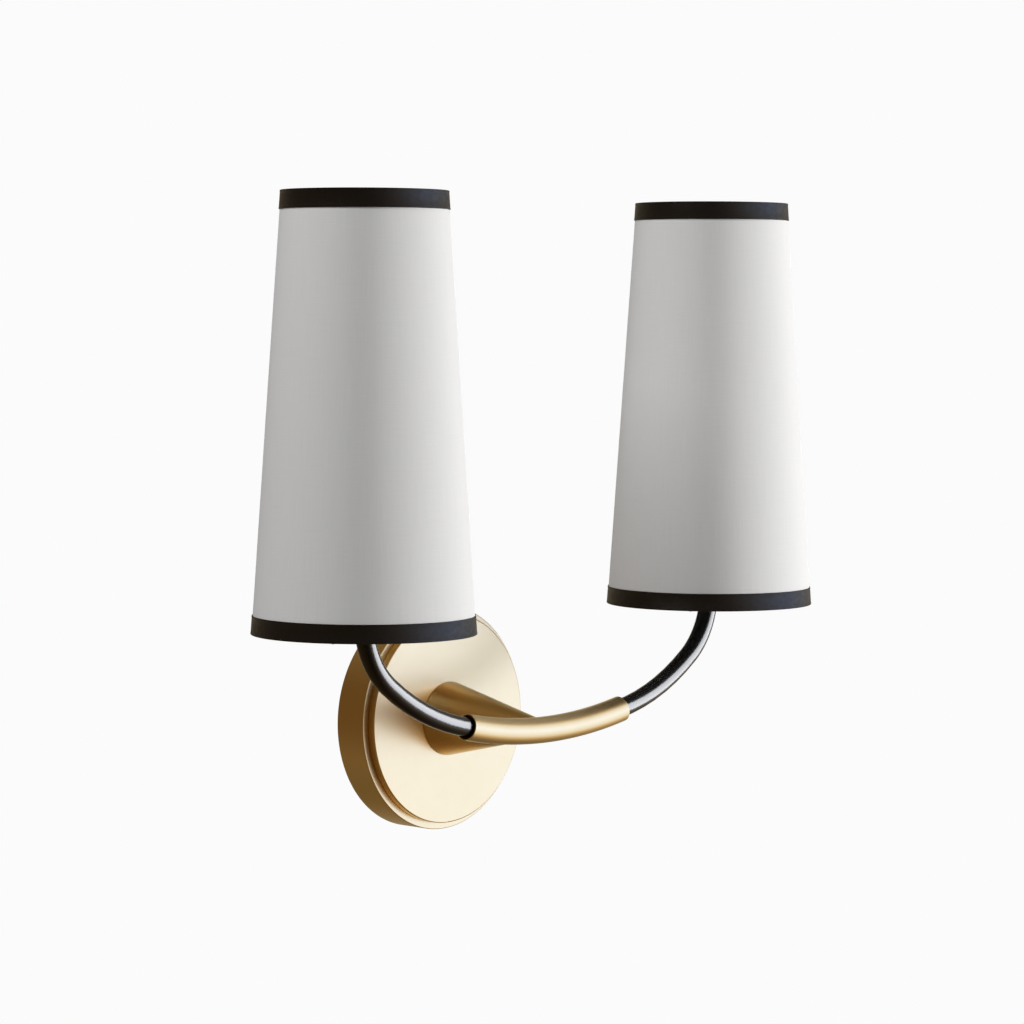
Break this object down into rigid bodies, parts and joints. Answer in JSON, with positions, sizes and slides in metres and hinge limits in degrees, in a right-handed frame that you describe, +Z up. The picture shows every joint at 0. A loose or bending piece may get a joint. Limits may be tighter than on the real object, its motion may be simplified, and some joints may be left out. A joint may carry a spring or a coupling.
{
  "type": "double arm wall sconce",
  "caption": "Wall light with a round stepped brass canopy, a cone stem, and black arms curving from a bent sleeve up into tall tapered cloth shades with dark trim.",
  "frame": {"origin": "centre of the canopy on the wall, on the back face of the mounting bracket", "axes": "+X along the wall, +Y into the wall, +Z up; the room is on the -Y side"},
  "size_m": [0.3814, 0.1524, 0.3427],
  "materials": {
    "satin_brass": "satin brushed brass, lacquered",
    "plain_brass": "plain turned brass",
    "black_enamel": "glossy black enamel",
    "zinc_steel": "zinc plated steel",
    "dark_screw_steel": "blackened steel",
    "green_screw": "green passivated steel",
    "tinned_copper": "tinned copper",
    "nickel": "nickel plated",
    "solder": "soft solder",
    "white_wire": "white painted steel wire",
    "black_phenolic": "moulded phenolic",
    "pale_ceramic": "unglazed porcelain",
    "connector_plastic": "moulded plastic",
    "black_insulation": "insulated lead",
    "white_insulation": "insulated lead",
    "green_insulation": "insulated lead",
    "white_cloth": "smooth woven cloth",
    "shade_lining": "translucent white lining",
    "black_tape": "ribbed cloth tape",
    "clear_glass": "clear glass",
    "dark_glass": "fused dark glass",
    "light_sticks": "phosphor coated light sticks"
  },
  "bodies": {
    "fixture": {"mounting_bracket": "zinc_steel", "canopy_screws": "dark_screw_steel", "canopy_cup": "satin_brass", "canopy_face": "satin_brass", "cone_stem": "satin_brass", "arm_sleeve": "satin_brass", "hollow_nipple": "zinc_steel", "nipple_washer": "zinc_steel", "nipple_nut": "zinc_steel", "ground_screw": "green_screw", "ground_lugs": "tinned_copper", "ground_lead": "green_insulation", "wire_connectors": "connector_plastic", "arm_grub_screws": "dark_screw_steel", "left_arm": "black_enamel", "left_arm_bush": "plain_brass", "left_black_lead": "black_insulation", "left_white_lead": "white_insulation", "left_holder_locknut": "dark_screw_steel", "left_holder_base": "black_phenolic", "left_holder_body": "black_phenolic", "left_holder_insert": "pale_ceramic", "left_screw_shell": "plain_brass", "left_centre_contact": "plain_brass", "right_arm": "black_enamel", "right_arm_bush": "plain_brass", "right_black_lead": "black_insulation", "right_white_lead": "white_insulation", "right_holder_locknut": "dark_screw_steel", "right_holder_base": "black_phenolic", "right_holder_body": "black_phenolic", "right_holder_insert": "pale_ceramic", "right_screw_shell": "plain_brass", "right_centre_contact": "plain_brass"},
    "left_shade": {"left_fitter_frame": "white_wire", "left_top_wire_ring": "white_wire", "left_shade_liner": "shade_lining", "left_shade_cover": "white_cloth", "left_bottom_trim": "black_tape", "left_top_trim": "black_tape"},
    "left_ring_nut": {"left_shade_ring_nut": "black_phenolic"},
    "left_lamp": {"left_lamp_cap": "nickel", "left_lamp_insulator": "dark_glass", "left_lamp_tip": "solder", "left_lamp_glass": "clear_glass", "left_lamp_filament": "light_sticks"},
    "right_shade": {"right_fitter_frame": "white_wire", "right_top_wire_ring": "white_wire", "right_shade_liner": "shade_lining", "right_shade_cover": "white_cloth", "right_bottom_trim": "black_tape", "right_top_trim": "black_tape"},
    "right_ring_nut": {"right_shade_ring_nut": "black_phenolic"},
    "right_lamp": {"right_lamp_cap": "nickel", "right_lamp_insulator": "dark_glass", "right_lamp_tip": "solder", "right_lamp_glass": "clear_glass", "right_lamp_filament": "light_sticks"}
  },
  "joints": [
    {"name": "left_shade_lift", "type": "slide", "parent": "fixture", "child": "left_shade", "axis": [0, 0, 1], "range_m": [0, 0.16]},
    {"name": "left_ring_nut_turn", "type": "hinge", "parent": "left_shade", "child": "left_ring_nut", "pos_m": [-0.1337, -0.0954, 0.0937], "axis": [0, 0, 1], "continuous": true},
    {"name": "left_lamp_lift", "type": "slide", "parent": "fixture", "child": "left_lamp", "axis": [0, 0, 1], "range_m": [0, 0.2]},
    {"name": "right_shade_lift", "type": "slide", "parent": "fixture", "child": "right_shade", "axis": [0, 0, 1], "range_m": [0, 0.16]},
    {"name": "right_ring_nut_turn", "type": "hinge", "parent": "right_shade", "child": "right_ring_nut", "pos_m": [0.1337, -0.0954, 0.0937], "axis": [0, 0, 1], "continuous": true},
    {"name": "right_lamp_lift", "type": "slide", "parent": "fixture", "child": "right_lamp", "axis": [0, 0, 1], "range_m": [0, 0.2]}
  ]
}
